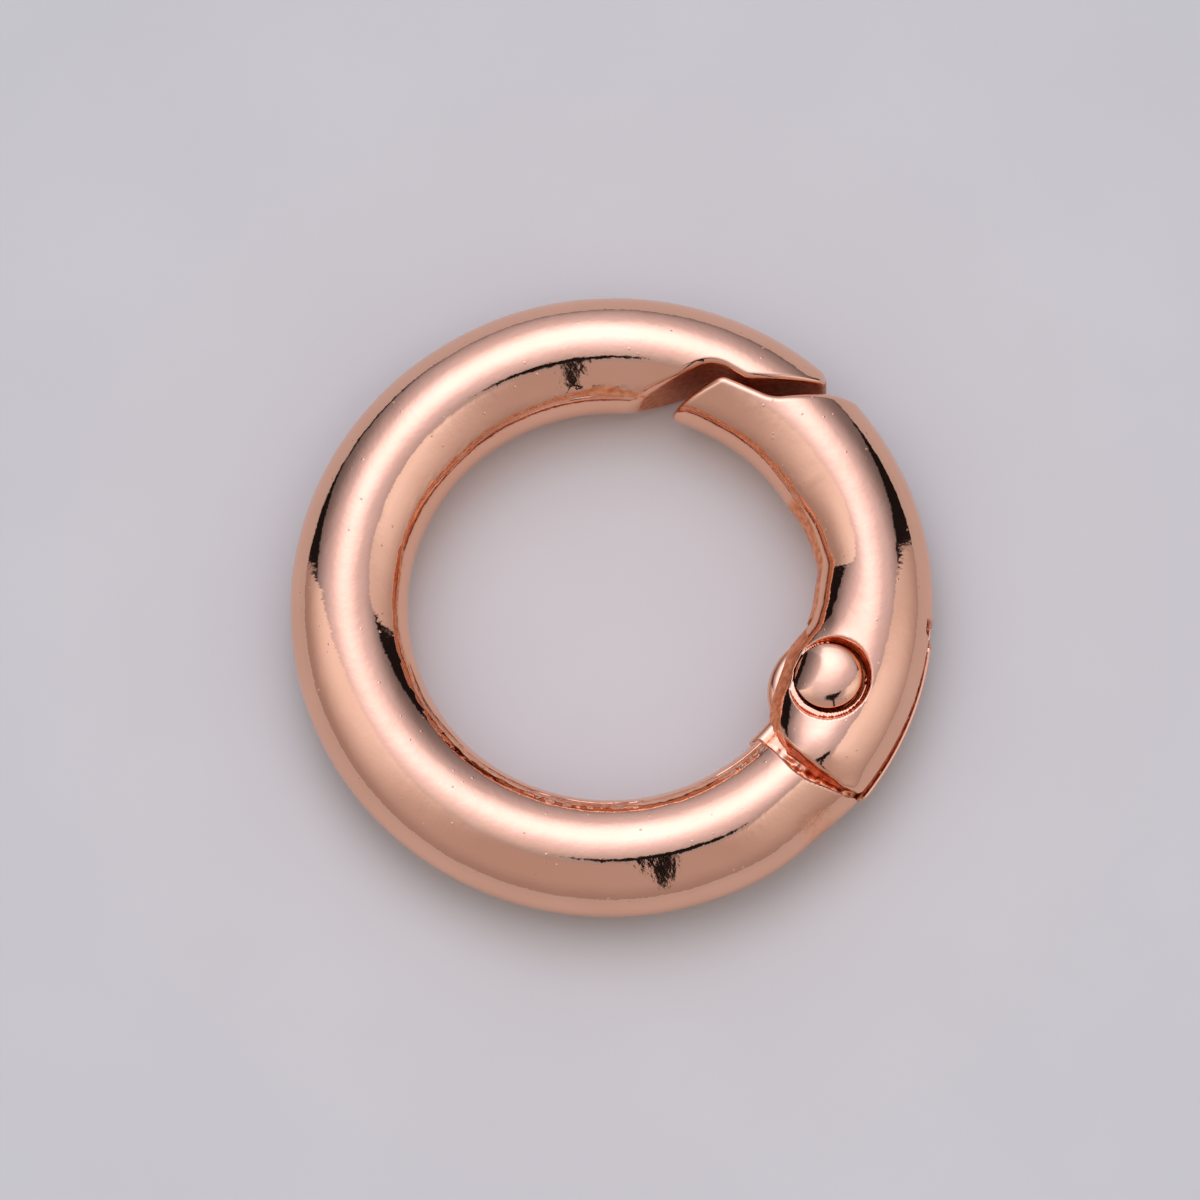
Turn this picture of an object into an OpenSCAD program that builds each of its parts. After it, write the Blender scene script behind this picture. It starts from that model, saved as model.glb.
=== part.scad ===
// Spring gate ring: a round ring of oval tube with a gate that is pushed inward to open.
// The ring lies flat. Its centre is at x = 0 and y = 0, and it rests on z = 0.
// The gate turns inward about an upright pivot pin, and a small spring closes it.
// Angles go anticlockwise from +X. "Across" runs from -1 at the ring's inner edge
// through 0 at the middle of the tube to 1 at its outer edge.

/* [Ring] */
// Outside diameter of the ring
outer_d = 25; // [24:0.5:27]
// Width of the tube, from the ring's inner edge to its outer edge
tube_w = 4.6; // [4.4:0.1:4.8]
// Height of the tube, upright when the ring lies flat
tube_h = 4; // [3.9:0.05:4.2]
// Radius of the tube's inner and outer flanks, smaller than half the height
flank_r = 1.6; // [1.4:0.05:1.7]

/* [Pivot] */
// Distance of the pivot pin's axis from the ring's centre line, towards the centre
pin_inset = 1.1; // [0.9:0.05:1.3]
// Angle of the pivot pin round the ring
pin_angle = -21.9; // [-23:0.1:-21]
// Diameter of the pin's shaft
shaft_d = 1.5; // [1.2:0.05:1.7]
// Diameter of the pin's riveted heads
head_d = 2.6; // [2.2:0.05:2.7]
// Height of the pin's domed heads, each side of the ring's middle plane
head_top = 1.97; // [1.8:0.01:1.97]
// Height of a head's straight side
head_rim = 0.4; // [0.2:0.05:0.45]
// Diameter of the round recess over each head
recess_d = 3.3; // [3.1:0.05:3.5]
// Height of the recess floor above the middle plane
recess_floor = 1.2; // [1.1:0.05:1.3]

/* [Tongue and fork] */
// Thickness of the body's tongue, which ends in a round knuckle
tongue_t = 1.3; // [1.1:0.05:1.4]
// Diameter of the knuckle
knuckle_d = 4.8; // [4.4:0.1:5]
// Room between the tongue and each cheek of the gate
cheek_gap = 0.07; // [0.05:0.01:0.12]
// Room between the knuckle and the end of the gate's slot
knuckle_gap = 0.25; // [0.15:0.05:0.35]
// Slope of the slot's end on its outer side, in degrees
slot_flare = 24; // [15:1:30]
// Depth of the tongue's outer side below the ring's outer edge
tongue_inset = 0.1; // [0.05:0.05:0.3]
// How far the tongue's inner side stands in from the ring's inner edge
tongue_lip = 0.1; // [0:0.05:0.15]
// Room between the pin's shaft and the cheeks' holes
shaft_gap = 0.05; // [0.03:0.01:0.08]

/* [Spring] */
// Diameter of the spring wire
wire_d = 0.2; // [0.15:0.01:0.22]
// Diameter of the coil, to the middle of the wire
coil_d = 2.3; // [2.2:0.05:2.4]
// Whole turns of the coil
coil_turns = 2; // [1:1:2]
// Length of the straight leg that is held in the body's tongue
body_leg = 1.4; // [0.8:0.1:2]
// Length of the straight leg that points at the gate
gate_leg = 2.1; // [1.5:0.1:2.1]

/* [Hidden] */
$fn = 96;
plating = "#E0A58D";
steel = "#B9B7B4";

half_w = tube_w / 2;
half_h = tube_h / 2;
centre_r = outer_d / 2 - half_w;
inner_r = centre_r - half_w;
pin_r = centre_r - pin_inset;

// Each wall of the ring's openings is a row of corners: angle, across, corner radius.
// Body's end at the nose, from the inner edge to the blunt tip at the outer edge
BODY_NOSE = [
    [88.5, -1.20, 0],
    [79.8, -0.77, 1.2],
    [66.8, 0.02, 1.3],
    [58.3, -0.03, 0.8],
    [45.7, 0.77, 0.25],
    [48.9, 1.16, 0],
];
// Gate's end at the nose, a peak and then a valley that lie inside the body's end
GATE_NOSE = [
    [78.0, -1.20, 0],
    [63.8, -0.14, 0.6],
    [51.3, -0.01, 1.3],
    [44.0, 0.70, 1.0],
    [39.8, 1.17, 0],
];
// Gate's rounded heel, from its inner corner to the outer edge
GATE_HEEL = [
    [-27.5, -1.23, 0],
    [-38.4, -1.08, 0.6],
    [-42.7, -0.42, 2.5],
    [-40.3, 1.25, 0],
];
// Lobe that widens the gate's cheeks inward round the pin, from the nose's side to the heel
GATE_LOBE = [
    [2, -0.7, 0],
    [-0.5, -0.98, 1.5],
    [-5.4, -1.07, 1.5],
    [-21.9, -1.27, 1.5],
    [-38.4, -1.08, 0.6],
    [-42.7, -0.42, 0],
    [-21, -0.3, 0],
];
// Body's shoulder, which faces the heel
BODY_SHOULDER = [
    [-45.5, -1.21, 0],
    [-46.0, -0.09, 2.5],
    [-41.1, 1.28, 0],
];

// Steps of a rounded corner, and how far the cutting shapes reach beyond what they cut
ARC_STEPS = 8;
WALL_STEP = 30;
FAR = 1.6;
NEAR = 0.55;
OVER = 1;

// Tight room between the pin and the knuckle, and under the pin's heads
press_gap = 0.01;
head_gap = 0.04;

// Spring, from its low end to its top
spring_low = -tongue_t / 2 + wire_d * 0.6;
spring_pitch = wire_d * 1.1;
spring_top = spring_low + coil_turns * spring_pitch + wire_d / 2;
pocket_r = coil_d / 2 + wire_d * 1.5;
groove_w = wire_d * 1.6;

// Point in plan at an angle round the ring and a place across its tube
function at(angle, across) = (centre_r + across * half_w) * [cos(angle), sin(angle)];
function unit(v) = v / norm(v);
function turned(v, angle) = [v.x * cos(angle) - v.y * sin(angle), v.x * sin(angle) + v.y * cos(angle)];

// Corner b of the path a, b, c, rounded to radius r
function rounded(a, b, c, r) =
    let (
        back = unit(a - b),
        on = unit(c - b),
        half = acos(back * on) / 2,
        middle = b + unit(back + on) * r / sin(half),
        first = b + back * r / tan(half) - middle,
        turn = sign(cross(b - a, c - b)) * (180 - 2 * half)
    )
    [for (i = [0:ARC_STEPS]) middle + turned(first, turn * i / ARC_STEPS)];

// Path through a wall's corners
function wall(rows) =
    let (p = [for (row = rows) at(row[0], row[1])], last = len(rows) - 1)
    [
        for (i = [0:last])
            each (rows[i][2] == 0 ? [p[i]] : rounded(p[i - 1], p[i], p[i + 1], rows[i][2]))
    ];

function reversed(list) = [for (i = [len(list) - 1:-1:0]) list[i]];

// Oval section of the tube: round flanks that run smoothly into a flatter top and bottom
module tube_section() {
    flank_x = half_w - flank_r;
    crown_r = (flank_x * flank_x + half_h * half_h - flank_r * flank_r) / (2 * (half_h - flank_r));
    crown_x = flank_x * crown_r / (crown_r - flank_r);
    translate([centre_r, 0]) {
        for (side = [-1, 1])
            translate([side * flank_x, 0])
                circle(flank_r);
        intersection() {
            translate([0, crown_r - half_h])
                circle(crown_r);
            translate([0, half_h - crown_r])
                circle(crown_r);
            square([2 * crown_x, 2 * half_h], center = true);
        }
    }
}

// Stretch of the tube between two walls, the second anticlockwise of the first
module tube_between(first, last) {
    start = first[len(first) - 1][0];
    end = last[len(last) - 1][0];
    steps = ceil((end - start) / WALL_STEP);
    outside = [for (i = [0:steps]) at(start + (end - start) * i / steps, 0) * FAR];
    inside = [for (i = [steps:-1:0]) at(start + (end - start) * i / steps, 0) * NEAR];
    intersection() {
        rotate_extrude()
            tube_section();
        layer(tube_h + 2 * OVER)
            polygon(concat(wall(first), outside, reversed(wall(last)), inside));
    }
}

// Places its children at the pin, with +X pointing away from the ring's centre
module at_pin() {
    rotate(pin_angle)
        translate([pin_r, 0, 0])
            children();
}

// Flat layer about the middle plane
module layer(t) {
    translate([0, 0, -t / 2])
        linear_extrude(t)
            children();
}

// Plan of the tongue: it fills the fork up to a round knuckle, level with the pin's side. Its root
// slants along the body's shoulder.
module tongue_plan() {
    knuckle_r = knuckle_d / 2;
    inner_root = 1.9;
    outer_root = 7.5;
    reach = 4;
    intersection() {
        difference() {
            circle(outer_d / 2 - tongue_inset);
            circle(inner_r - tongue_lip);
        }
        at_pin()
            polygon([
                [0, 0],
                [0, knuckle_r],
                [reach, knuckle_r],
                [reach, -outer_root],
                [-reach, -inner_root],
                [-reach, 0],
            ]);
    }
    at_pin()
        circle(knuckle_r);
}

// Plan of the slot between the gate's cheeks
module slot_plan() {
    slot_r = knuckle_d / 2 + knuckle_gap;
    reach = 6;
    root = 9;
    at_pin() {
        circle(slot_r);
        polygon([
            [0, slot_r],
            [reach, slot_r + reach * tan(slot_flare)],
            [reach, -root],
            [-reach, -root],
            [-reach, 0],
            [0, 0],
        ]);
    }
}

// Round pocket for the spring and a groove for its legs, open at the tongue's lower face
module spring_pocket() {
    bottom = -tongue_t / 2 - OVER;
    top = spring_top + wire_d / 2;
    translate([0, 0, bottom])
        linear_extrude(top - bottom) {
            circle(pocket_r);
            translate([coil_d / 2 - groove_w / 2, -body_leg - wire_d])
                square([groove_w, body_leg + gate_leg + 2 * wire_d]);
        }
}

// Stiff cast part of the ring, with the blunt nose and the tongue for the hinge
module ring_body() {
    color(plating)
        translate([0, 0, half_h])
            difference() {
                union() {
                    tube_between(BODY_NOSE, [for (row = BODY_SHOULDER) [row[0] + 360, row[1], row[2]]]);
                    layer(tongue_t)
                        tongue_plan();
                }
                at_pin() {
                    cylinder(d = shaft_d + 2 * press_gap, h = tube_h, center = true);
                    spring_pocket();
                }
            }
}

// Sprung gate: its forked end straddles the tongue, and its nose meets the body
module gate() {
    slot_t = tongue_t + 2 * cheek_gap;
    color(plating)
        translate([0, 0, half_h])
            difference() {
                union() {
                    tube_between(GATE_HEEL, GATE_NOSE);
                    layer(2 * recess_floor)
                        polygon(wall(GATE_LOBE));
                }
                layer(slot_t)
                    slot_plan();
                at_pin() {
                    cylinder(d = shaft_d + 2 * shaft_gap, h = tube_h, center = true);
                    for (side = [0, 180])
                        rotate([side, 0, 0])
                            translate([0, 0, recess_floor])
                                cylinder(d = recess_d, h = half_h);
                }
            }
}

// Rivet through the knuckle, with a low dome at each end
module pivot_pin() {
    head_low = recess_floor + head_gap;
    rise = head_top - head_low - head_rim;
    dome_r = (pow(head_d / 2, 2) + rise * rise) / (2 * rise);
    color(plating)
        translate([0, 0, half_h])
            at_pin() {
                cylinder(d = shaft_d, h = 2 * head_low, center = true);
                for (side = [0, 180])
                    rotate([side, 0, 0])
                        translate([0, 0, head_low])
                            intersection() {
                                cylinder(d = head_d, h = head_top - head_low);
                                translate([0, 0, head_top - head_low - dome_r])
                                    sphere(dome_r);
                            }
            }
}

// Coil of round wire about the pin, with one leg to the body and one to the gate
module torsion_spring() {
    sides = 8;
    turn_steps = 20;
    steps = coil_turns * turn_steps;
    coil_r = coil_d / 2;
    path = concat(
        [[coil_r, -body_leg, spring_low]],
        [
            for (i = [0:steps])
                let (a = 360 * i / turn_steps)
                    [coil_r * cos(a), coil_r * sin(a), spring_low + spring_pitch * i / turn_steps]
        ],
        [[coil_r, gate_leg, spring_low + spring_pitch * coil_turns]]
    );
    last = len(path) - 1;
    rings = [
        for (i = [0:last])
            let (
                ahead = unit(path[min(i + 1, last)] - path[max(i - 1, 0)]),
                across = unit(cross(ahead, [0, 0, 1])),
                up = cross(across, ahead)
            )
            for (k = [0:sides - 1])
                path[i] + (across * cos(360 * k / sides) + up * sin(360 * k / sides)) * wire_d / 2
    ];
    color(steel)
        translate([0, 0, half_h])
            at_pin()
                polyhedron(
                    rings,
                    concat(
                        [[for (k = [0:sides - 1]) k]],
                        [
                            for (i = [0:last - 1], k = [0:sides - 1])
                                let (n = (k + 1) % sides)
                                    [i * sides + n, i * sides + k, (i + 1) * sides + k, (i + 1) * sides + n]
                        ],
                        [[for (k = [sides - 1:-1:0]) last * sides + k]]
                    )
                );
}

ring_body();
gate();
pivot_pin();
torsion_spring();
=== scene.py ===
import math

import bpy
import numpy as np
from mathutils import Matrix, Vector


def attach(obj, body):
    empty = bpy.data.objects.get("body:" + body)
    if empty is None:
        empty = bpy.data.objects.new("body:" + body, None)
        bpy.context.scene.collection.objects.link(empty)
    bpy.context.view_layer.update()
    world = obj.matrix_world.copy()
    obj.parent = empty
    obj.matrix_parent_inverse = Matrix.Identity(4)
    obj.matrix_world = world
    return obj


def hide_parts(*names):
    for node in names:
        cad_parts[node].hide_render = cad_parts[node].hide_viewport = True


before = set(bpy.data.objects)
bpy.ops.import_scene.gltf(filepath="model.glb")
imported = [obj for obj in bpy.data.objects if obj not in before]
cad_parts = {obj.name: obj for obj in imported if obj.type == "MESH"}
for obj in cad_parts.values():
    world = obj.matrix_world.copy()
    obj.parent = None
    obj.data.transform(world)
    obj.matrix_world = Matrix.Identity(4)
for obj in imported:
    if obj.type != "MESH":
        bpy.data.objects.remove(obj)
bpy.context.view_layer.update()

# Looks of the spring gate ring. The shape functions below work in millimetres, with z counted
# from the ring's middle plane. A shape is a field: negative inside, positive outside, and close
# to the distance from the surface. piece_from_field() meshes a field and turns it into metres.
# Angles go anticlockwise from +X in degrees. "Across" runs from -1 at the ring's inner edge
# through 0 at the middle of the tube to 1 at its outer edge.

MM = 0.001

# Ring, as in the CAD model
OUTER_R = 12.5
HALF_W = 2.3
HALF_H = 2.0
FLANK_R = 1.6
CENTRE_R = OUTER_R - HALF_W
INNER_R = CENTRE_R - HALF_W

# The tube's flanks are arcs about points FLANK_X from its middle. They run into a crown of
# CROWN_R, whose centre lies DROP beyond the middle plane.
FLANK_X = HALF_W - FLANK_R
CROWN_R = (FLANK_X ** 2 + HALF_H ** 2 - FLANK_R ** 2) / (2 * (HALF_H - FLANK_R))
DROP = CROWN_R - HALF_H

# Relief of the tube: the waviness of tumbled metal, the body's outer flank ground flatter beside
# the heel, and the lower cheek's outer flank standing proud
WAVE = 0.006
WAVE_SIZE = 2.2
GROUND = 0.16
GROUND_ANGLE = 311
GROUND_REACH = 8
PROUD = 0.11

# Rough parting line that the mould's core left along each inner flank
SEAM_R = 8.3
SEAM_RIDGE = 0.075
SEAM_GROOVE = 0.05
SEAM_HEIGHT = (0.4, 0.6)
GATE_SEAM_FROM = 27

# Pivot. The rivet's dome has its top DOME_OFF to one side, and is polished down to the gate's
# flank, taken FLUSH further in.
PIN_R = CENTRE_R - 1.1
PIN_ANGLE = -21.9
SHAFT_R = 0.75
SHAFT_FIT = 0.01
SHAFT_GAP = 0.05
HEAD_TOP = 1.98
HEAD_GAP = 0.04
DOME_OFF = 0.15
FLUSH = 0.15
FLUSH_EDGE = 0.03

# Recess round the rivet's head: a floor with a groove in it, and a ledge with a sloped side
RECESS_OFF = (0.05, -0.02)
RECESS_FLOOR = 1.2
GROOVE_R = 1.4
GROOVE_IN = 1.2
GROOVE_FLOOR = 0.95
LEDGE_OFF = (-0.03, -0.1)
LEDGE_R = 1.5
LEDGE_AT = 1.45
LEDGE_FLARE = 0.45

# Tongue, which ends in a round knuckle, and the slot between the gate's cheeks
TONGUE_T = 1.3
TONGUE_INSET = 0.36
TONGUE_LIP = 0.13
TONGUE_ROOT = 4.7
TONGUE_ROOT_SLANT = 0.7
SWING_ROOM = 0.03
CRINKLE = 0.035
CRINKLE_SIZE = 0.22
KNUCKLE_R = 2.35
KNUCKLE_OFF = (0.07, -0.3)
CHEEK_GAP = 0.07
SLOT_R = 2.65
SLOT_FLARE = 24
SLOT_LIP = 0.3
SLOT_LIP_FROM = (12.15, 12.25)

# Pocket for the spring's coil in the knuckle's underside, and the groove for its legs
POCKET_R = 1.45
POCKET_TOP = 0.1
LEGS_OUT = 1.15
LEGS_W = 0.32
LEGS_FROM = -1.6
LEGS_TO = 2.3

# Walls of the nose and heel openings: angle, across, corner radius
BODY_NOSE = [(88.5, -1.20, 0), (79.8, -0.77, 1.2), (66.8, 0.02, 1.3), (58.3, -0.03, 0.8),
             (45.7, 0.77, 0.25), (48.9, 1.16, 0)]
GATE_NOSE = [(78.0, -1.20, 0), (63.8, -0.14, 0.6), (51.3, -0.01, 1.3), (44.0, 0.70, 1.0), (39.8, 1.17, 0)]
GATE_HEEL = [(-26.8, -1.318, 0), (-37.6, -1.172, 0.7), (-42.2, -0.45, 1.2), (-42.2, 0.15, 2),
             (-40.9, 0.72, 0.8), (-36.2, 1.4, 0)]
BODY_SHOULDER = [(-43.9, -1.21, 0), (-45.8, 0.12, 2), (-41.4, 0.83, 0.6), (-37, 1.2, 0)]

# Inner outline of the gate, which leaves the ring's circle within these angles and runs out
# round the pin
GATE_INNER = [(34, -1.0, 0), (21.5, -0.90, 4), (10, -0.89, 1.0), (-1, -1.045, 2), (-6.5, -1.11, 1.0),
              (-15.4, -1.38, 0.8), (-33.1, -1.29, 1.0), (-46.8, -0.80, 0)]
INNER_LEAVES = (28, 31)
ARC_STEPS = 24
WALL_REACH = 45

# The heel's bowed end, which leans back. The top and bottom fall away towards it.
HEEL_REACH = -5
HEEL_END = -41.8
HEEL_BOW = 2.3
HEEL_FALL = 0.1
HEEL_FALL_FROM = 1.3
HEEL_LEAN = 0.06
HEEL_GRAIN = 0.015

# Roundings of edges, and fillets
BODY_NOSE_EDGE = 0.25
GATE_NOSE_EDGE = 0.36
SHOULDER_EDGE = 0.12
HEEL_EDGE = 0.13
TONGUE_EDGE = 0.4
TONGUE_FILLET = 0.08
KNUCKLE_FILLET = 0.3
SLOT_EDGE = 0.06
SLOT_FILLET = 0.2
RECESS_EDGE = 0.05
BODY_BORE_EDGE = 0.02
GATE_BORE_EDGE = 0.03

# Depths under the tube's surface from which polishing didn't reach the metal
SUNK = (0.1, 0.25)


# Numbers along rows of points

def bell(value, middle, width):
    """1 at middle, falling smoothly to about 0 at two widths away."""
    return np.exp(-((value - middle) / width) ** 2)


def step(value, low, high):
    """0 below low and 1 above high, with a smooth rise between them."""
    t = np.clip((value - low) / (high - low), 0, 1)
    return t * t * (3 - 2 * t)


def fall(value, low, high):
    """1 below low and 0 above high, with a smooth fall between them."""
    return step(-value, -high, -low)


def ripple(p, size, seed, waves=10):
    """Smooth uneven height from about -1 to 1, with hollows and rises about size across."""
    rng = np.random.default_rng(seed)
    total = np.zeros(len(p))
    for _ in range(waves):
        direction = rng.normal(size=3)
        direction *= math.pi / size * rng.uniform(0.6, 1.4) / np.linalg.norm(direction)
        total += np.sin(p @ direction + rng.uniform(0, 2 * math.pi))
    return total / math.sqrt(waves)


def meet(a, b, radius):
    """What is inside both fields, with the edge between them rounded."""
    past = np.hypot(np.maximum(a + radius, 0), np.maximum(b + radius, 0))
    return np.minimum(-radius, np.maximum(a, b)) + past


def join(a, b, radius):
    """What is inside either field, with a fillet between them."""
    return -meet(-a, -b, radius)


def cut(a, b, radius):
    """What is inside the first field and outside the second, with rounded edges."""
    return meet(a, -b, radius)


# Outlines in plan

def at(angle, across):
    """Point in plan at an angle round the ring and a place across its tube."""
    turn = math.radians(angle)
    return (CENTRE_R + across * HALF_W) * np.array([math.cos(turn), math.sin(turn)])


def unit(v):
    return v / np.linalg.norm(v)


def rounded(a, b, c, radius):
    """Points round corner b of the path a, b, c."""
    back, on = unit(a - b), unit(c - b)
    half = math.acos(float(back @ on)) / 2
    middle = b + unit(back + on) * radius / math.sin(half)
    first = b + back * radius / math.tan(half) - middle
    side = np.sign((b - a)[0] * (c - b)[1] - (b - a)[1] * (c - b)[0])
    turns = side * (math.pi - 2 * half) * np.linspace(0, 1, ARC_STEPS + 1)
    return [middle + np.array([first[0] * math.cos(t) - first[1] * math.sin(t),
                               first[0] * math.sin(t) + first[1] * math.cos(t)]) for t in turns]


def wall(rows):
    """Path through a wall's corners."""
    corners = [at(angle, across) for angle, across, _ in rows]
    path = []
    for i, (_, _, radius) in enumerate(rows):
        path += rounded(*corners[i - 1:i + 2], radius) if radius else [corners[i]]
    return np.array(path)


def beside(path, p):
    """Distance in plan from a path, negative on its left."""
    nearest = np.full(len(p), np.inf)
    side = np.ones(len(p))
    for a, b in zip(path[:-1], path[1:]):
        along = b - a
        px, py = p[:, 0] - a[0], p[:, 1] - a[1]
        t = np.clip((px * along[0] + py * along[1]) / (along @ along), 0, 1)
        gap = np.hypot(px - t * along[0], py - t * along[1])
        closer = gap < nearest - 1e-9
        nearest = np.where(closer, gap, nearest)
        side = np.where(closer, np.sign(py * along[0] - px * along[1]), side)
    return -nearest * side


NOSE_OF_BODY = wall(BODY_NOSE)
NOSE_OF_GATE = wall(GATE_NOSE)
HEEL = wall(GATE_HEEL)
SHOULDER = wall(BODY_SHOULDER)
INNER_OUTLINE = wall(GATE_INNER)

PIN_TURN = math.radians(PIN_ANGLE)
PIN_OUT = np.array([math.cos(PIN_TURN), math.sin(PIN_TURN)])
PIN_AT = PIN_R * PIN_OUT


def from_pin(p):
    """Places in plan as (away from the ring's centre, anticlockwise) from the pin."""
    dx, dy = p[:, 0] - PIN_AT[0], p[:, 1] - PIN_AT[1]
    return dx * PIN_OUT[0] + dy * PIN_OUT[1], dy * PIN_OUT[0] - dx * PIN_OUT[1]


# Fields of the forms

def round_angle(p):
    """Angle round the ring, from -180 to 180."""
    return np.degrees(np.arctan2(p[:, 1], p[:, 0]))


def from_centre(p):
    """Distance in plan from the ring's centre."""
    return np.hypot(p[:, 0], p[:, 1])


def ended(form, p, side, angle, radius):
    """The form with an end face near an angle round the ring, and a rounded edge on it."""
    near = np.abs((round_angle(p) - angle + 180) % 360 - 180) < WALL_REACH
    form = form.copy()
    form[near] = meet(form[near], side(p[near]), radius)
    return form


def gate_across(p):
    """Place across the gate's inner half, from 0 at the middle of the tube to HALF_W at its outline."""
    across = CENTRE_R - from_centre(p)
    share = step(across, 0, 1.5) * fall(round_angle(p), *INNER_LEAVES)
    off = share > 0
    across[off] += (HALF_W + beside(INNER_OUTLINE, p[off]) - across[off]) * share[off]
    return across


def tube(p, swell=0.0, inner=None):
    """The ring's oval tube, swollen on its outer half. The inner half can be given another place
    across."""
    across = from_centre(p) - CENTRE_R
    a, h = np.abs(across), np.abs(p[:, 2])
    if inner is not None:
        a = np.where(across < 0, inner, a)
    on_flank = FLANK_X * h - DROP * (a - FLANK_X) < 0
    form = np.where(on_flank, np.hypot(a - FLANK_X, h) - FLANK_R, np.hypot(a, h + DROP) - CROWN_R)
    return form - swell * step(across, 0.2, 1.8)


def seam_place(p):
    """How far a point is up the inner flank from the mould's parting line."""
    return from_centre(p) - SEAM_R + 0.04 * ripple(p * [1, 1, 0.2], 1.6, seed=3)


def seam_amount(p):
    """How rough the parting line is here, from 0 to 1."""
    angle = round_angle(p) % 360
    worked = 0.2 + 0.8 * (step(angle, 240, 270) + bell(angle, 92, 5) + fall(angle, 30, 60))
    uneven = np.clip(0.45 + 0.5 * ripple(p * [1, 1, 0.2], 2.6, seed=5), 0.12, 1)
    return worked * uneven * step(np.abs(p[:, 2]), *SEAM_HEIGHT)


def seam(p):
    """Height of the parting line: a ridge of crumbs with a narrow groove under it."""
    place, amount = seam_place(p), seam_amount(p)
    crumbs = 0.5 + 0.5 * ripple(p, 0.2, seed=7)
    ridge = SEAM_RIDGE * amount * crumbs * bell(place, 0.14, 0.12)
    return ridge - SEAM_GROOVE * bell(place, -0.02, 0.05) * step(amount, 0, 0.3)


def cylinder(p, radius):
    """Upright round shape about the pin."""
    return np.hypot(p[:, 0] - PIN_AT[0], p[:, 1] - PIN_AT[1]) - radius


def tongue(p):
    """Flat tongue with its knuckle, crinkled on top beside the shoulder."""
    out, on = from_pin(p)
    knuckle = np.hypot(out - KNUCKLE_OFF[0], on - KNUCKLE_OFF[1]) - KNUCKLE_R
    ring_r = from_centre(p)
    outside = OUTER_R - TONGUE_INSET
    band = np.maximum(ring_r - outside, INNER_R - TONGUE_LIP - ring_r)
    behind = np.where(out < 0, np.where(on < 0, on, np.hypot(out, on)), on - KNUCKLE_R - KNUCKLE_OFF[1])
    behind = np.maximum(behind, -on - TONGUE_ROOT - TONGUE_ROOT_SLANT * out)
    swing = np.where(on > 0, cylinder(p, outside - PIN_R - SWING_ROOM), -1)
    plan = join(knuckle, np.maximum(np.maximum(band, behind), swing), KNUCKLE_FILLET)
    crinkle = CRINKLE * ripple(p, CRINKLE_SIZE, seed=11) * fall(on, -3.5, -3.0) * step(p[:, 2], 0.3, 0.5)
    return meet(plan, np.abs(p[:, 2]) - TONGUE_T / 2, TONGUE_EDGE) - crinkle


def spring_pocket(p):
    """Pocket for the spring's coil, open below, with a groove for its legs."""
    out, on = from_pin(p)
    legs = np.maximum(np.abs(out - LEGS_OUT) - LEGS_W / 2, np.maximum(on - LEGS_TO, LEGS_FROM - on))
    return np.maximum(np.minimum(cylinder(p, POCKET_R), legs), p[:, 2] - POCKET_TOP)


def body_field(p):
    ground = -GROUND * bell(round_angle(p) % 360, GROUND_ANGLE, GROUND_REACH)
    form = tube(p, ground) - WAVE * ripple(p, WAVE_SIZE, seed=21) - seam(p)
    form = ended(form, p, lambda q: beside(NOSE_OF_BODY, q), 63, BODY_NOSE_EDGE)
    form = ended(form, p, lambda q: -beside(SHOULDER, q), -44, SHOULDER_EDGE)
    form = join(form, tongue(p), TONGUE_FILLET)
    form = cut(form, cylinder(p, SHAFT_R + SHAFT_FIT), BODY_BORE_EDGE)
    return cut(form, spring_pocket(p), BODY_BORE_EDGE)


def slot(p):
    """Slot for the tongue. At its outer side each cheek has a lip over it."""
    out, on = from_pin(p)
    flare = math.radians(SLOT_FLARE)
    sloped = (on - SLOT_R) * math.cos(flare) - out * math.sin(flare)
    behind = np.where(out < 0, np.where(on < 0, on, np.hypot(out, on)), sloped)
    plan = join(cylinder(p, SLOT_R), behind, SLOT_FILLET)
    lip = SLOT_LIP * step(from_centre(p), *SLOT_LIP_FROM) * fall(round_angle(p), -8, -6)
    return np.maximum(plan, np.abs(p[:, 2]) - TONGUE_T / 2 - CHEEK_GAP + lip)


def recess(p):
    """Stepped recess for the rivet's head: a narrow groove round it, a ledge and a sloped side."""
    r = np.hypot(p[:, 0] - PIN_AT[0] - RECESS_OFF[0], p[:, 1] - PIN_AT[1] - RECESS_OFF[1])
    height = np.abs(p[:, 2])
    groove = np.maximum(np.maximum(r - GROOVE_R, GROOVE_IN - r), GROOVE_FLOOR - height)
    eye = np.maximum(r - GROOVE_R, RECESS_FLOOR - height)
    side_r = np.hypot(p[:, 0] - PIN_AT[0] - LEDGE_OFF[0], p[:, 1] - PIN_AT[1] - LEDGE_OFF[1])
    ledge = np.maximum((side_r - LEDGE_R - LEDGE_FLARE * (height - LEDGE_AT)) * 0.9, LEDGE_AT - height)
    return np.minimum(np.minimum(groove, eye), ledge) - 0.004 * ripple(p, 0.4, seed=31)


def heel(form, p):
    """The form with the heel's end, towards which its top and bottom fall away."""
    near = round_angle(p) < HEEL_REACH
    q = p[near]
    height, ring_r = np.abs(q[:, 2]), from_centre(q)
    across = (ring_r - CENTRE_R) / HALF_W
    from_end = np.radians(round_angle(q) - HEEL_END - HEEL_BOW * across ** 2) * ring_r
    fall_from = HEEL_FALL_FROM * (0.3 + 0.7 * step(across, -0.6, 0.1))
    fallen = HEEL_FALL * np.maximum(fall_from - from_end, 0) ** 2 * step(height, 0.8, 1.5)
    lean = HEEL_LEAN * np.maximum(height - TONGUE_T / 2 - CHEEK_GAP, 0)
    end = beside(HEEL, q) + lean - HEEL_GRAIN * ripple(q, 0.25, seed=34)
    form = form.copy()
    form[near] = meet(form[near] + fallen, end, HEEL_EDGE)
    return form


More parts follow.
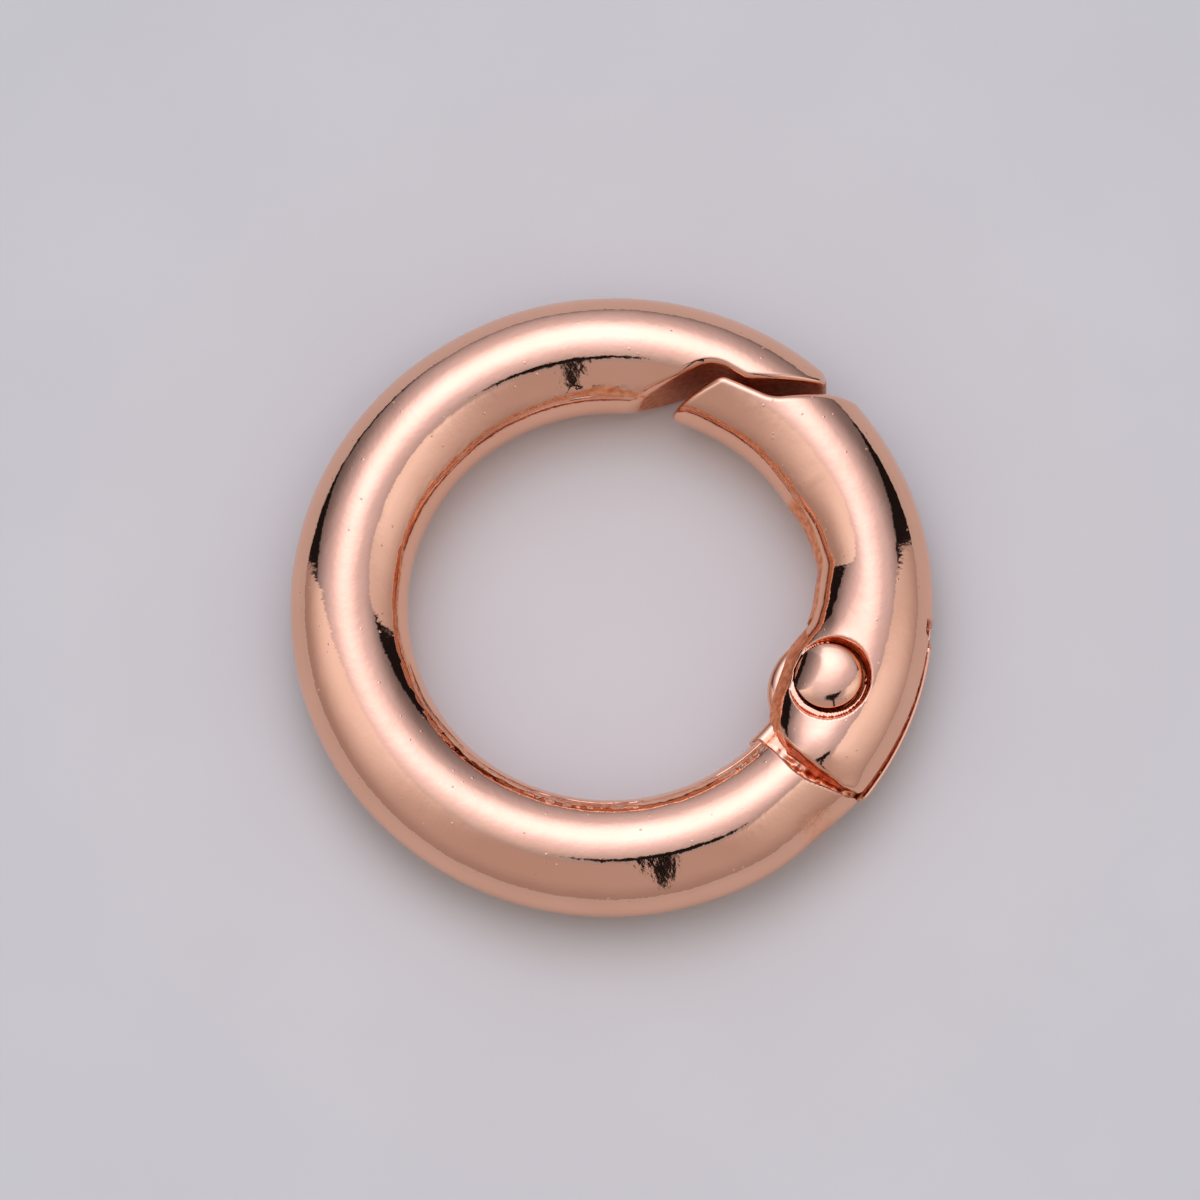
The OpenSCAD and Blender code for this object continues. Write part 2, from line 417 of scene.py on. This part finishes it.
def gate_field(p):
    angle = round_angle(p)
    proud = PROUD * step(angle, -50, -36) * fall(angle, -5, 2) * fall(p[:, 2], -0.6, -0.1)
    form = tube(p, proud, gate_across(p)) - WAVE * ripple(p, WAVE_SIZE, seed=22)
    form = form - seam(p) * step(angle, GATE_SEAM_FROM, GATE_SEAM_FROM + 3)
    form = heel(form, p)
    form = ended(form, p, lambda q: -beside(NOSE_OF_GATE, q), 60, GATE_NOSE_EDGE)
    form = cut(form, slot(p), SLOT_EDGE)
    form = cut(form, recess(p), RECESS_EDGE)
    return cut(form, cylinder(p, SHAFT_R + SHAFT_GAP), GATE_BORE_EDGE)


# Meshes from fields

# The grid's reach, in millimetres from the ring's centre and middle plane
GRID_INNER_R = 6.45
GRID_OUTER_R = OUTER_R + 0.4
GRID_TOP = HALF_H + 0.2


def slope(field, p, reach=0.004):
    """Direction and steepness in which a field grows."""
    rise = np.empty_like(p)
    for axis in range(3):
        off = np.zeros(3)
        off[axis] = reach
        rise[:, axis] = (field(p + off) - field(p - off)) / (2 * reach)
    return rise


def onto_surface(field, p, rounds, longest):
    """Points moved to where the field is 0."""
    for _ in range(rounds):
        rise = slope(field, p)
        step_by = field(p)[:, None] * rise / np.maximum((rise ** 2).sum(1), 0.25)[:, None]
        size = np.linalg.norm(step_by, axis=1)[:, None]
        p = p - step_by * np.minimum(1, longest / np.maximum(size, 1e-9))
    return p


def quads_between(inside, number):
    """Four-sided faces round every grid line that crosses the surface. number is the index of each
    cell's point, or -1."""
    faces = []
    for axis in range(3):
        u, v = [k for k in range(3) if k != axis]
        low, high = np.moveaxis(inside, axis, 0)[:-1], np.moveaxis(inside, axis, 0)[1:]
        crossing = np.moveaxis(low != high, 0, axis)
        leaves = np.moveaxis(low & ~high, 0, axis)
        where = np.argwhere(crossing)
        where = where[(where[:, u] > 0) & (where[:, v] > 0)]
        where = where[(where[:, u] < number.shape[u]) & (where[:, v] < number.shape[v])]
        ring = []
        for du, dv in ((1, 1), (0, 1), (0, 0), (1, 0)):
            cell = where.copy()
            cell[:, u] -= du
            cell[:, v] -= dv
            ring.append(number[tuple(cell.T)])
        quad = np.stack(ring, 1)
        flip = leaves[tuple(where.T)] ^ (axis == 1)
        quad[flip] = quad[flip][:, ::-1]
        faces.append(quad[(quad >= 0).all(1)])
    return np.concatenate(faces)


def evened(field, p, quads, rounds):
    """Points spread evenly over the surface."""
    edges = np.concatenate([quads[:, [i, (i + 1) % 4]] for i in range(4)])
    count = np.bincount(edges.ravel(), minlength=len(p))[:, None]
    for _ in range(rounds):
        total = np.zeros_like(p)
        np.add.at(total, edges[:, 0], p[edges[:, 1]])
        np.add.at(total, edges[:, 1], p[edges[:, 0]])
        p = onto_surface(field, (p + total / count) / 2, 1, 0.05)
    return p


def mesh_from_field(field, angles, cell):
    """(points, quads, normals) of a field's surface, from a grid of angles, radii and heights."""
    radii = np.arange(GRID_INNER_R, GRID_OUTER_R, cell)
    heights = np.arange(-GRID_TOP, GRID_TOP + cell, cell)
    a, r, h = np.meshgrid(np.radians(angles), radii, heights, indexing="ij")
    grid = np.stack([r * np.cos(a), r * np.sin(a), h], -1)
    shape = a.shape
    inside = field(grid.reshape(-1, 3)).reshape(shape) < 0
    corners = [inside[i:shape[0] - 1 + i, j:shape[1] - 1 + j, k:shape[2] - 1 + k]
               for i in (0, 1) for j in (0, 1) for k in (0, 1)]
    held = sum(c.astype(int) for c in corners)
    mixed = (held > 0) & (held < 8)
    number = np.full(mixed.shape, -1)
    number[mixed] = np.arange(mixed.sum())
    middles = (grid[:-1, :-1, :-1] + grid[1:, 1:, 1:]) / 2
    p = onto_surface(field, middles[mixed], 4, cell)
    quads = quads_between(inside, number)
    p = evened(field, p, quads, 3)
    p = onto_surface(field, p, 2, cell)
    rise = slope(field, p)
    return p, quads, rise / np.maximum(np.linalg.norm(rise, axis=1), 1e-9)[:, None]


def seam_rawness(p):
    """1 along the rough parting line and 0 away from it."""
    width = 0.03 + 0.12 * seam_amount(p)
    return bell(seam_place(p), 0.6 * width, width) * step(np.abs(p[:, 2]), *SEAM_HEIGHT)


def body_rawness_and_shade(p):
    """0 on polished metal, 1 on cast metal that polishing didn't reach, 2 deep in a crevice, where the colour
    is painted shade.
    """
    angle, height, ring_r = round_angle(p), np.abs(p[:, 2]), from_centre(p)
    # Painted shade: the nose's wall goes part way to the crevice's dark colour, for the narrow gap between
    # body and gate.
    nose = 0.45 * step(angle, 41, 44)
    on_tongue = fall(height, 0.7, 0.8) * fall(angle, 0, 5)
    worn_top = (0.9 - 0.5 * step(ring_r, 9.6, 10.4)) * step(height, 0.55, 0.62)
    worn = np.maximum(worn_top, fall(ring_r, 7.6, 7.8))
    sunk = step(-tube(p), *SUNK)
    return np.maximum(sunk * (1 + nose - worn * on_tongue), seam_rawness(p))


def gate_rawness_and_shade(p):
    """The same for the gate, whose inner side round the pin was left as cast. The groove round the rivet's
    head and the slit beside the tongue get painted shade.
    """
    angle, height = round_angle(p), np.abs(p[:, 2])
    inner = gate_across(p)
    sunk = step(-tube(p, 0, inner), *SUNK)
    line = seam_rawness(p) * step(angle, GATE_SEAM_FROM - 3, GATE_SEAM_FROM + 3)
    polish_end = 2.0 - 0.38 * fall(angle, -14, -9) + 0.04 * ripple(p, 0.7, seed=36)
    side = step(inner - polish_end, 0, 0.07) * fall(angle, *INNER_LEAVES)
    # Painted shade in the groove round the rivet's head.
    crevice = fall(cylinder(p, GROOVE_R + 0.02), -0.03, 0) * fall(height, 1.3, 1.42) * step(height, 0.7, 0.74)
    # Painted shade in the slit between the cheeks and the tongue, at the outer side.
    slit = fall(height, 0.85, 0.95) * step(-tube(p), 0.05, 0.12) * step(from_centre(p), 11.5, 12)
    ledge = bell(height, LEDGE_AT, 0.05) * fall(cylinder(p, LEDGE_R + 0.15), -0.03, 0)
    # Levels over 1 from the groove and the slit are painted shade.
    raw_and_shade = np.maximum(np.maximum(sunk, line), side) + np.maximum(0.65 * crevice, slit)
    return raw_and_shade * (1 - 0.9 * ledge)


def piece_of(name, mesh, material):
    mesh.materials.append(material)
    piece = bpy.data.objects.new(name, mesh)
    bpy.context.collection.objects.link(piece)
    return piece


def new_piece(name, points, faces, normals, raw_and_shade, material):
    """Smooth object from points in millimetres above the middle plane."""
    mesh = bpy.data.meshes.new(name)
    sides = faces.shape[1]
    mesh.vertices.add(len(points))
    mesh.vertices.foreach_set("co", ((points + [0, 0, HALF_H]) * MM).ravel())
    mesh.loops.add(faces.size)
    mesh.loops.foreach_set("vertex_index", faces.ravel())
    mesh.polygons.add(len(faces))
    mesh.polygons.foreach_set("loop_start", np.arange(0, faces.size, sides))
    mesh.update(calc_edges=True)
    mesh.validate()
    mesh.shade_smooth()
    mesh.normals_split_custom_set_from_vertices(normals)
    mesh.attributes.new("raw_and_shade", "FLOAT", "POINT").data.foreach_set("value", raw_and_shade)
    return piece_of(name, mesh, material)


def piece_from_field(name, field, rawness_and_shade, angles, cell, material):
    points, quads, normals = mesh_from_field(field, angles, cell)
    return new_piece(name, points, quads, normals, rawness_and_shade(points), material)


def stretches(*rows):
    """Angles from rows of (from, to, step), joined end to end."""
    parts = [np.linspace(a, b, max(1, round((b - a) / d)), endpoint=False) for a, b, d in rows]
    return np.concatenate(parts + [[rows[-1][1]]])


# Rivet, turned from a profile

def arc(centre, radius, start, end, steps):
    """Points of an arc in a profile of (distance from the axis, height)."""
    return [(centre[0] + radius * math.cos(math.radians(a)), centre[1] + radius * math.sin(math.radians(a)))
            for a in np.linspace(start, end, steps + 1)]


def rivet_profile():
    """Half outline of the rivet from its upper pole to its middle: a flat dome that rounds off
    more sharply towards its edge, then the head's side and the shaft."""
    head_low = RECESS_FLOOR + HEAD_GAP
    flat_r, turn_r, turn_from, turn_to, rim_r = 3.6, 0.68, 17.1, 38, 0.05
    turn_x = (flat_r - turn_r) * math.sin(math.radians(turn_from))
    turn_z = HEAD_TOP - flat_r + (flat_r - turn_r) * math.cos(math.radians(turn_from))
    rim_x = turn_x + (turn_r - rim_r) * math.sin(math.radians(turn_to))
    rim_z = turn_z + (turn_r - rim_r) * math.cos(math.radians(turn_to))
    dome = arc((0, HEAD_TOP - flat_r), flat_r, 90, 90 - turn_from, 20)
    dome += arc((turn_x, turn_z), turn_r, 90 - turn_from, 90 - turn_to, 20)[1:]
    dome += arc((rim_x, rim_z), rim_r, 90 - turn_to, 0, 8)[1:]
    side_r = rim_x + rim_r
    return dome + [(side_r, head_low + 0.02), (side_r - 0.02, head_low), (SHAFT_R, head_low)]


def turned_piece(name, half, steps, material):
    """Piece turned about the pin's axis, the same above and below the middle plane. The hammer left
    the top of its domes a little to one side, and polishing took them flush with the gate's flank."""
    outline = np.array(half + [(r, -z) for r, z in reversed(half)])[1:-1]
    rows = len(outline)
    points = [[0, 0, half[0][1]], [0, 0, -half[0][1]]]
    for t in np.linspace(0, 2 * math.pi, steps, endpoint=False):
        points += [[r * math.cos(t), r * math.sin(t), z] for r, z in outline]
    points = np.array(points)

    on_dome = np.abs(points[:, 2]) > RECESS_FLOOR + 0.1
    edge = outline[:, 0].max()
    points[on_dome, 0] += DOME_OFF * (1 - (points[on_dome, 0] ** 2 + points[on_dome, 1] ** 2) / edge ** 2)
    points[:, :2] += PIN_AT
    across = np.clip(gate_across(points) + FLUSH, -2, 2)
    over = np.abs(points[:, 2]) - (np.sqrt(CROWN_R ** 2 - across ** 2) - DROP + 0.3 * FLUSH)
    points[:, 2] -= on_dome * np.sign(points[:, 2]) * (over + np.sqrt(over ** 2 + FLUSH_EDGE ** 2)) / 2

    faces = []
    for i in range(steps):
        here, there = 2 + i * rows, 2 + (i + 1) % steps * rows
        faces.append((0, here, there))
        faces += [(here + k, here + k + 1, there + k + 1, there + k) for k in range(rows - 1)]
        faces.append((1, there + rows - 1, here + rows - 1))
    mesh = bpy.data.meshes.new(name)
    mesh.from_pydata([tuple(q) for q in (points + [0, 0, HALF_H]) * MM], [], faces)
    mesh.shade_smooth()
    mesh.set_sharp_from_angle(angle=math.radians(40))
    return piece_of(name, mesh, material)


# Node trees

class Nodes:
    """Short calls for making and joining shader nodes."""

    def __init__(self, tree):
        self.tree = tree
        tree.nodes.clear()

    def add(self, kind, inputs=(), **settings):
        """New node. An input that is another node's socket is linked, and any other is a value."""
        node = self.tree.nodes.new(kind)
        for key, value in settings.items():
            setattr(node, key, value)
        for key, value in dict(inputs).items():
            if isinstance(value, bpy.types.NodeSocket):
                self.tree.links.new(value, node.inputs[key])
            else:
                node.inputs[key].default_value = value
        return node

    def math(self, operation, *values):
        return self.add("ShaderNodeMath", enumerate(values), operation=operation).outputs[0]

    def plus(self, a, b):
        return self.math("ADD", a, b)

    def minus(self, a, b):
        return self.math("SUBTRACT", a, b)

    def times(self, a, b):
        return self.math("MULTIPLY", a, b)

    def line(self, value, factor, start):
        """start plus value times factor."""
        return self.math("MULTIPLY_ADD", value, factor, start)

    def ramp(self, value, low, high, bottom=0.0, top=1.0):
        """bottom where value is under low and top where it is over high, with a smooth rise."""
        inputs = {"Value": value, "From Min": low, "From Max": high, "To Min": bottom, "To Max": top}
        return self.add("ShaderNodeMapRange", inputs, interpolation_type="SMOOTHSTEP").outputs[0]

    def blend(self, factor, a, b):
        """Colour between a and b. A colour mix has these in inputs 0, 6 and 7, and its result in 2."""
        return self.add("ShaderNodeMix", {0: factor, 6: a, 7: b}, data_type="RGBA").outputs[2]

    def tinted(self, level, tint):
        """Colour of a tint at a brightness."""
        return self.add("ShaderNodeVectorMath", {0: tint, "Scale": level}, operation="SCALE").outputs[0]

    def noise(self, place, size, detail=2.0):
        """Noise with features about size metres across."""
        inputs = {"Vector": place, "Scale": 1 / size, "Detail": detail}
        return self.add("ShaderNodeTexNoise", inputs).outputs["Fac"]

    def bump(self, height, distance, normal=None, strength=1.0):
        """Normal bent by a relief, on top of another relief's normal."""
        inputs = {"Strength": strength, "Distance": distance, "Height": height}
        if normal is not None:
            inputs["Normal"] = normal
        return self.add("ShaderNodeBump", inputs).outputs[0]

    def surface(self, inputs):
        """Principled shader as the material's surface."""
        shader = self.add("ShaderNodeBsdfPrincipled", inputs)
        self.add("ShaderNodeOutputMaterial", {"Surface": shader.outputs[0]})


# Materials

def new_material(name):
    """(material, its nodes, the place on the object) for a procedural material."""
    material = bpy.data.materials.new(name)
    material.use_nodes = True
    nodes = Nodes(material.node_tree)
    return material, nodes, nodes.add("ShaderNodeTexCoord").outputs["Object"]


def plated_metal():
    """Mirror-bright rose gold plating over cast and tumbled metal. Where the mesh's attribute says that
    polishing didn't reach, the plating is rough and deeper in colour. Where the attribute goes on from 1 to
    2, the colour darkens to a deep red-brown: painted shade in crevices and gaps."""
    material, nodes, place = new_material("rose_gold_plating")
    raw_and_shade = nodes.add("ShaderNodeAttribute", attribute_name="raw_and_shade").outputs["Fac"]

    tone = nodes.ramp(nodes.noise(place, 3 * MM), 0.3, 0.7)
    bright = nodes.blend(tone, (0.87, 0.485, 0.33, 1), (0.90, 0.51, 0.355, 1))
    patches = nodes.ramp(nodes.noise(place, 0.25 * MM, 3), 0.35, 0.65)
    cast = nodes.blend(patches, (0.74, 0.24, 0.095, 1), (0.96, 0.41, 0.20, 1))
    # Painted shade: from 1 to 2 the attribute darkens the colour to a deep red-brown in crevices and gaps.
    cast = nodes.blend(nodes.ramp(raw_and_shade, 1, 2), cast, (0.30, 0.075, 0.035, 1))
    colour = nodes.blend(raw_and_shade, bright, cast)

    gloss = nodes.ramp(nodes.noise(place, 1.2 * MM), 0.35, 0.75, 0.03, 0.06)
    gloss = nodes.line(raw_and_shade, 0.27, gloss)

    pimples = nodes.add("ShaderNodeTexVoronoi", {"Vector": place, "Scale": 1 / (0.4 * MM)})
    chance = nodes.add("ShaderNodeSeparateColor", {0: pimples.outputs["Color"]}).outputs[0]
    few = nodes.math("GREATER_THAN", chance, 0.7)
    spots = nodes.times(few, nodes.ramp(pimples.outputs["Distance"], 0.04, 0.15, 1.0, 0.0))
    relief = nodes.bump(nodes.noise(place, 0.16 * MM, 3), 0.0022 * MM)
    relief = nodes.bump(nodes.noise(place, 0.9 * MM), 0.012 * MM, relief)
    relief = nodes.bump(spots, 0.01 * MM, relief)
    relief = nodes.bump(nodes.noise(place, 0.09 * MM, 4), 0.03 * MM, relief, strength=raw_and_shade)

    nodes.surface({"Base Color": colour, "Metallic": 1.0, "Roughness": gloss, "Normal": relief})
    return material


def spring_wire():
    material, nodes, place = new_material("spring_steel")
    drawn = nodes.ramp(nodes.noise(place, 0.1 * MM, 3), 0.3, 0.7, 0.25, 0.42)
    nodes.surface({"Base Color": (0.52, 0.51, 0.5, 1), "Metallic": 1.0, "Roughness": drawn})
    return material


def floor_paper():
    """Pale mauve-grey sheet."""
    material, nodes, place = new_material("floor_paper")
    tone = nodes.ramp(nodes.noise(place, 9 * MM, 3), 0.3, 0.7)
    colour = nodes.blend(tone, (0.614, 0.611, 0.592, 1), (0.629, 0.627, 0.607, 1))
    nodes.surface({"Base Color": colour, "Roughness": 0.7})
    return material


# Light tent in the world, seen in the polished metal. Places on it are (azimuth, height) in degrees.

LAMP_AT = (98, 55)
GLOW_AT = (135, 75)
SHEET_EDGES = (25.5, 155.5)
LEFT_PANEL_AT = 165.0
SLIT_AT = -78.5
LENS_AT = (-73.0, 76.0)
LENS_SIZE = (45.0, 3.5)
SHEET_TINT = (0.97, 1.0, 1.22)
TOP_TINT = (0.97, 1.0, 1.14)
PANEL_COLOUR = (1.06, 1.08, 1.17, 1)
DARK = (0.012, 0.011, 0.013, 1)


def angle_from(nodes, way, place):
    """Angle in degrees between the view direction and a place on the light tent."""
    a, e = math.radians(place[0]), math.radians(place[1])
    point = (math.cos(e) * math.cos(a), math.cos(e) * math.sin(a), math.sin(e))
    dot = nodes.add("ShaderNodeVectorMath", {0: way, 1: point}, operation="DOT_PRODUCT").outputs["Value"]
    return nodes.math("DEGREES", nodes.math("ARCCOSINE", dot))


def lamp_level(nodes, way):
    """How bright the soft lamp makes the tent."""
    from_lamp = angle_from(nodes, way, LAMP_AT)
    core = nodes.ramp(from_lamp, 4, 30, 1.0, 0.0)
    halo = nodes.ramp(from_lamp, 12, 60, 1.0, 0.42)
    glow = nodes.ramp(angle_from(nodes, way, GLOW_AT), 0, 29, 0.26, 0.0)
    return nodes.plus(nodes.plus(core, halo), glow)


def sheet_colour(nodes, azimuth, height, lit):
    """Sheet that sweeps up at the back, dimmer to the sides, with dark gaps at its lower corners."""
    right_side = nodes.times(nodes.ramp(azimuth, 32, 95, 0.66, 0.0), nodes.ramp(height, 15, 58, 1.0, 0.0))
    left_side = nodes.times(nodes.ramp(azimuth, 112, 142, 0.0, 0.62), nodes.ramp(height, 8, 58, 1.0, 0.0))
    sides = nodes.minus(1.0, nodes.plus(right_side, left_side))
    level = nodes.times(nodes.times(lit, sides), nodes.ramp(height, -2, 9, 0.6, 1.0))
    sheet = nodes.tinted(level, SHEET_TINT)

    in_left = nodes.ramp(nodes.minus(nodes.line(azimuth, 1.25, -168.5), height), 0, 3)
    foot = nodes.times(nodes.ramp(azimuth, 112, 130), nodes.ramp(height, 2.5, 5, 1.0, 0.0))
    in_right = nodes.ramp(nodes.minus(nodes.line(azimuth, -1.5, 80.0), height), 0, 3)
    in_right = nodes.times(in_right, nodes.ramp(height, 40, 50, 1.0, 0.0))
    in_gap = nodes.math("MAXIMUM", nodes.math("MAXIMUM", in_left, foot), in_right)
    return nodes.blend(in_gap, sheet, DARK)


def wall_colour(nodes, azimuth, height, lit):
    """Plain front wall with a lit panel at each side, and the tent's top over it."""
    right_panel = nodes.times(nodes.ramp(azimuth, -60, -2), nodes.line(height, 0.018, 0.09))
    right_panel = nodes.times(nodes.math("MINIMUM", right_panel, 1.0), nodes.ramp(azimuth, 0, 22, 1.0, 0.5))
    right_panel = nodes.times(right_panel, nodes.math("LESS_THAN", azimuth, 90.0))
    full_turn = nodes.math("FLOORED_MODULO", azimuth, 360.0)
    from_left = nodes.math("ABSOLUTE", nodes.minus(full_turn, LEFT_PANEL_AT))
    left_panel = nodes.times(nodes.ramp(from_left, 0, 65, 1.0, 0.0), nodes.ramp(height, 5, 52))
    plain = nodes.blend(nodes.ramp(height, 0, 34), (0.39, 0.34, 0.35, 1), (0.51, 0.46, 0.475, 1))
    wall = nodes.blend(nodes.math("MAXIMUM", left_panel, right_panel), plain, PANEL_COLOUR)
    return nodes.blend(nodes.ramp(height, 66, 72), wall, nodes.tinted(lit, TOP_TINT))


def camera_side(nodes, azimuth, height):
    """1 in the slit that the camera looks through and on its dark lens over it."""
    from_slit = nodes.math("ABSOLUTE", nodes.minus(azimuth, SLIT_AT))
    past_slit = nodes.minus(from_slit, nodes.line(height, 0.084, -1.0))
    slit = nodes.times(nodes.ramp(past_slit, -0.4, 0.4, 1.0, 0.0), nodes.ramp(height, 73, 76, 1.0, 0.0))
    beside_lens = nodes.math("DIVIDE", nodes.minus(azimuth, LENS_AT[0]), LENS_SIZE[0])
    over_lens = nodes.math("DIVIDE", nodes.minus(height, LENS_AT[1]), LENS_SIZE[1])
    from_lens = nodes.plus(nodes.times(beside_lens, beside_lens), nodes.times(over_lens, over_lens))
    return nodes.math("MAXIMUM", slit, nodes.ramp(from_lens, 0.6, 1.2, 1.0, 0.0))


def studio_world():
    """Light tent: the sheet at the back, and the wall with the camera's side round the rest."""
    world = bpy.data.worlds.new("light_tent")
    world.use_nodes = True
    bpy.context.scene.world = world
    nodes = Nodes(world.node_tree)
    way = nodes.add("ShaderNodeTexCoord").outputs["Generated"]
    x, y, z = nodes.add("ShaderNodeSeparateXYZ", {"Vector": way}).outputs
    height = nodes.math("DEGREES", nodes.math("ARCSINE", z))
    azimuth = nodes.math("DEGREES", nodes.math("ARCTAN2", y, x))
    lit = lamp_level(nodes, way)
    sheet = sheet_colour(nodes, azimuth, height, lit)
    wall = wall_colour(nodes, azimuth, height, lit)
    wall = nodes.blend(camera_side(nodes, azimuth, height), wall, DARK)

    past_40 = nodes.math("MAXIMUM", nodes.minus(height, 40.0), 0.0)
    right_edge = nodes.line(nodes.times(past_40, past_40), -0.04, SHEET_EDGES[0])
    left_edge = nodes.line(height, 0.07, SHEET_EDGES[1])
    past_right = nodes.ramp(nodes.minus(azimuth, right_edge), 0, 1.5)
    before_left = nodes.ramp(nodes.minus(azimuth, left_edge), 0, 1.5, 1.0, 0.0)
    colour = nodes.blend(nodes.times(past_right, before_left), wall, sheet)
    back = nodes.add("ShaderNodeBackground", {"Color": colour, "Strength": 1.0})
    nodes.add("ShaderNodeOutputWorld", {"Surface": back.outputs[0]})


# Lights, floor and camera

def light_object(light):
    """Object of a light that neither the camera nor the metal's reflections show."""
    lamp = bpy.data.objects.new(light.name, light)
    lamp.visible_camera = False
    lamp.visible_glossy = False
    bpy.context.collection.objects.link(lamp)
    return lamp


def front_fill():
    """Broad weak light from the front, which softens the ring's shadow."""
    light = bpy.data.lights.new("front_fill", "SUN")
    light.energy = 0.39
    light.angle = math.radians(120)
    light_object(light).rotation_euler = Vector((0.05, 0.3, -0.95)).to_track_quat("-Z", "Y").to_euler()


def thrown_light():
    """Warm light that the polished ring throws on the floor round it."""
    light = bpy.data.lights.new("thrown_light", "AREA")
    light.shape = "DISK"
    light.size = 0.03
    light.color = (1.0, 0.5, 0.38)
    light.energy = 0.0016
    light_object(light).location = (0, 0, 0.034)


def floor():
    reach = 1.2
    mesh = bpy.data.meshes.new("floor")
    corners = [(-reach, -reach, 0), (reach, -reach, 0), (reach, reach, 0), (-reach, reach, 0)]
    mesh.from_pydata(corners, [], [(0, 1, 2, 3)])
    piece = piece_of("floor", mesh, floor_paper())


# The photograph is 1200 pixels square. Its scale and the ring's middle in it set the camera.
PHOTO_SIZE = 1200
PIXELS_PER_MM = 25.74
RING_MIDDLE_PX = (611.4, 606.0)
CAMERA_TILT = 16.8
CAMERA_TURN = 6.5
CAMERA_FAR = 0.55
SENSOR = 36.0


def camera():
    tilt, turn = math.radians(CAMERA_TILT), math.radians(CAMERA_TURN)
    towards = Vector((math.sin(tilt) * math.sin(turn), -math.sin(tilt) * math.cos(turn), math.cos(tilt)))
    up = Vector((0, 1, 0)) - towards * towards.y
    up.normalize()
    right = up.cross(towards)
    off_x = (PHOTO_SIZE / 2 - RING_MIDDLE_PX[0]) / PIXELS_PER_MM * MM
    off_y = (RING_MIDDLE_PX[1] - PHOTO_SIZE / 2) / PIXELS_PER_MM * MM
    aim = Vector((0, 0, HALF_H * MM)) + right * off_x + up * off_y
    data = bpy.data.cameras.new("camera")
    data.sensor_width = SENSOR
    data.lens = SENSOR * CAMERA_FAR / (PHOTO_SIZE / PIXELS_PER_MM * MM)
    view = bpy.data.objects.new("camera", data)
    turned = Matrix((right, up, towards)).transposed().to_4x4()
    view.matrix_world = Matrix.Translation(aim + towards * CAMERA_FAR) @ turned
    bpy.context.collection.objects.link(view)
    bpy.context.scene.camera = view


CELL = 0.085
GATE_CELL = 0.07
FINE = 0.45
PLAIN = 1.5

metal = plated_metal()

body_angles = stretches((41, 86, FINE), (86, 306, PLAIN), (306, 356, FINE))
body = piece_from_field("ring_body_cast", body_field, body_rawness_and_shade, body_angles, CELL, metal)
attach(body, "ring")
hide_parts("ring_body")

gate = piece_from_field("gate_cast", gate_field, gate_rawness_and_shade, stretches((-47, 82, FINE)), GATE_CELL, metal)
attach(gate, "gate")
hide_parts("gate")

rivet = turned_piece("rivet", rivet_profile(), 96, metal)
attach(rivet, "ring")
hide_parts("pivot_pin")

wire = spring_wire()
for slot_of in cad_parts["torsion_spring"].material_slots:
    slot_of.material = wire

bpy.context.scene.view_settings.view_transform = "Standard"
floor()
studio_world()
front_fill()
thrown_light()
camera()
